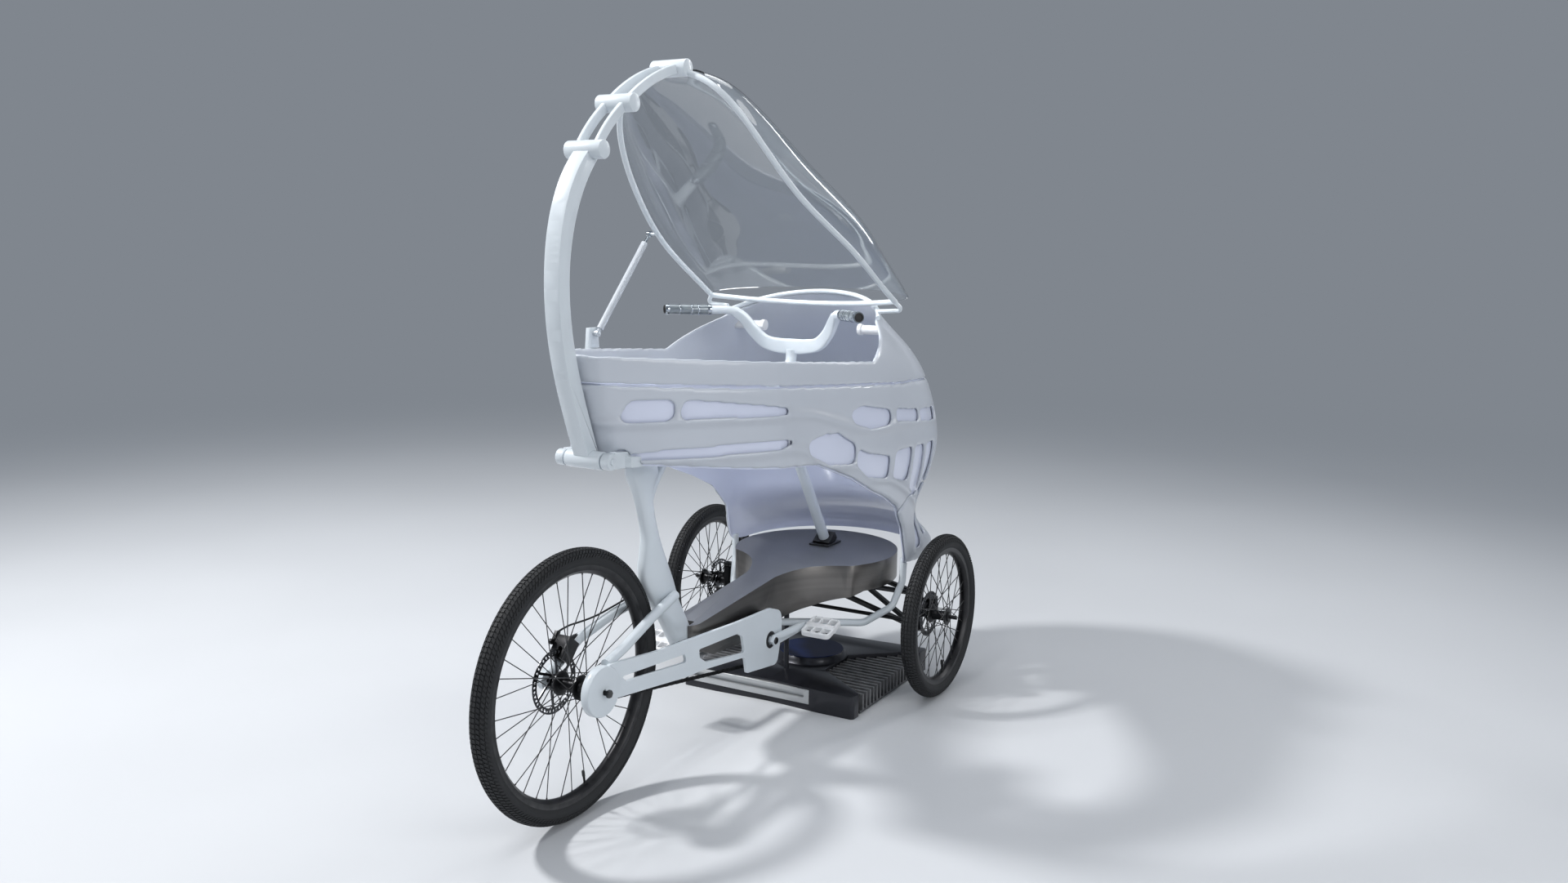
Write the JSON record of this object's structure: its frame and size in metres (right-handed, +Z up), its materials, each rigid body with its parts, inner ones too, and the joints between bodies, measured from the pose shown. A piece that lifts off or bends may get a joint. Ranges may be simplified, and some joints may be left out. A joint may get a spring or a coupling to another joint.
{
  "type": "enclosed pedal tricycle",
  "caption": "White pedal tricycle with a ring body, a clear lifting canopy and a dark steel dock under it.",
  "frame": {"origin": "on the ground, halfway along and halfway across the tricycle", "axes": "+X forward, +Y left, +Z up"},
  "size_m": [2.0081, 0.96, 1.8429],
  "materials": {
    "white_paint": "gloss",
    "shell_white": "satin",
    "panel_skin": "gloss",
    "clear_acrylic": "clear",
    "dark_steel": "brushed",
    "black_anodized": "satin",
    "bare_steel": "brushed",
    "strut_grey": "satin",
    "tyre": "matte",
    "grip_rubber": "satin",
    "cable_sleeve": "satin",
    "seat_cover": "matte",
    "chain_steel": "oiled",
    "white_plastic": "gloss"
  },
  "bodies": {
    "frame": {"mast": "white_paint", "stays": "white_paint", "drive_plate": "white_paint", "rear_axle": "black_anodized", "floor_pan": "dark_steel", "front_arms": "black_anodized", "lower_hoop": "white_paint", "body_belt": "shell_white", "body_shell": "shell_white", "leg_shield": "shell_white", "body_liner": "panel_skin", "body_crosspiece": "white_paint", "cowl_collar": "white_paint", "cowl_stops": "white_plastic", "rear_brake": "black_anodized", "brake_cable": "cable_sleeve", "seat": "seat_cover", "column_bearing": "black_anodized", "chain": "chain_steel", "roof_lugs": "white_paint", "strut_bracket": "white_paint", "stand_base": "dark_steel", "stand_bar": "bare_steel", "stand_fins": "black_anodized"},
    "steering": {"steering_column": "white_paint", "handlebar": "white_paint", "grips": "grip_rubber"},
    "tie_rod_body": {"tie_rod": "black_anodized"},
    "knuckle_left": {"front_left_knuckle": "black_anodized"},
    "knuckle_right": {"front_right_knuckle": "black_anodized"},
    "wheel_front_left": {"front_left_tyre": "tyre", "front_left_wheel": "black_anodized", "front_left_rotor": "bare_steel"},
    "wheel_front_right": {"front_right_tyre": "tyre", "front_right_wheel": "black_anodized", "front_right_rotor": "bare_steel"},
    "wheel_rear": {"rear_tyre": "tyre", "rear_wheel": "black_anodized", "rear_rotor": "bare_steel", "rear_sprocket": "bare_steel"},
    "cranks": {"crankset": "white_paint"},
    "pedal_r": {"pedal_right": "white_plastic"},
    "pedal_l": {"pedal_left": "white_plastic"},
    "canopy": {"roof_beam": "white_paint", "roof_barrels": "white_paint", "roof_rails": "white_paint", "canopy_rim": "white_paint", "canopy_bubble": "clear_acrylic"},
    "strut_tube": {"strut_cylinder": "strut_grey"},
    "strut_piston": {"strut_rod": "strut_grey"}
  },
  "joints": [
    {"name": "steering_turn", "type": "hinge", "parent": "frame", "child": "steering", "pos_m": [0.649, 0, 0.42], "axis": [-0.538, 0, 0.843], "range_deg": [-18, 18]},
    {"name": "knuckle_left_turn", "type": "hinge", "parent": "frame", "child": "knuckle_left", "pos_m": [0.607, 0.352, 0.253], "axis": [0, 0, 1], "range_deg": [-18, 18]},
    {"name": "knuckle_right_turn", "type": "hinge", "parent": "frame", "child": "knuckle_right", "pos_m": [0.607, -0.352, 0.253], "axis": [0, 0, 1], "range_deg": [-18, 18]},
    {"name": "tie_rod_slide", "type": "slide", "parent": "frame", "child": "tie_rod_body", "axis": [0, 1, 0], "range_m": [-0.022, 0.022]},
    {"name": "front_left_spin", "type": "hinge", "parent": "knuckle_left", "child": "wheel_front_left", "pos_m": [0.607, 0.423, 0.253], "axis": [0, 1, 0], "continuous": true},
    {"name": "front_right_spin", "type": "hinge", "parent": "knuckle_right", "child": "wheel_front_right", "pos_m": [0.607, -0.423, 0.253], "axis": [0, 1, 0], "continuous": true},
    {"name": "rear_spin", "type": "hinge", "parent": "frame", "child": "wheel_rear", "pos_m": [-0.657, 0, 0.335], "axis": [0, 1, 0], "continuous": true},
    {"name": "crank_spin", "type": "hinge", "parent": "frame", "child": "cranks", "pos_m": [0.127, 0, 0.251], "axis": [0, 1, 0], "continuous": true},
    {"name": "pedal_right_spin", "type": "hinge", "parent": "cranks", "child": "pedal_r", "pos_m": [0.305, -0.168, 0.251], "axis": [0, 1, 0], "continuous": true},
    {"name": "pedal_left_spin", "type": "hinge", "parent": "cranks", "child": "pedal_l", "pos_m": [-0.051, 0.168, 0.251], "axis": [0, 1, 0], "continuous": true},
    {"name": "canopy_lift", "type": "hinge", "parent": "frame", "child": "canopy", "pos_m": [-0.585, 0, 0.877], "axis": [0, -1, 0], "range_deg": [0, 34]},
    {"name": "strut_swing", "type": "hinge", "parent": "frame", "child": "strut_tube", "pos_m": [-0.117, 0.327, 1.135], "axis": [0, -1, 0], "range_deg": [-5, 64.5]},
    {"name": "strut_slide", "type": "slide", "parent": "strut_tube", "child": "strut_piston", "axis": [0.6727, 0, 0.7399], "range_m": [0, 0.2421]}
  ],
  "couplings": [
    {"joint": "knuckle_left_turn", "follows": "steering_turn", "ratio": 1},
    {"joint": "knuckle_right_turn", "follows": "steering_turn", "ratio": 1},
    {"joint": "tie_rod_slide", "follows": "steering_turn", "m_per_rad": -0.07},
    {"joint": "strut_swing", "follows": "canopy_lift", "ratio": 1.7218},
    {"joint": "strut_slide", "follows": "canopy_lift", "m_per_rad": 0.4013}
  ]
}
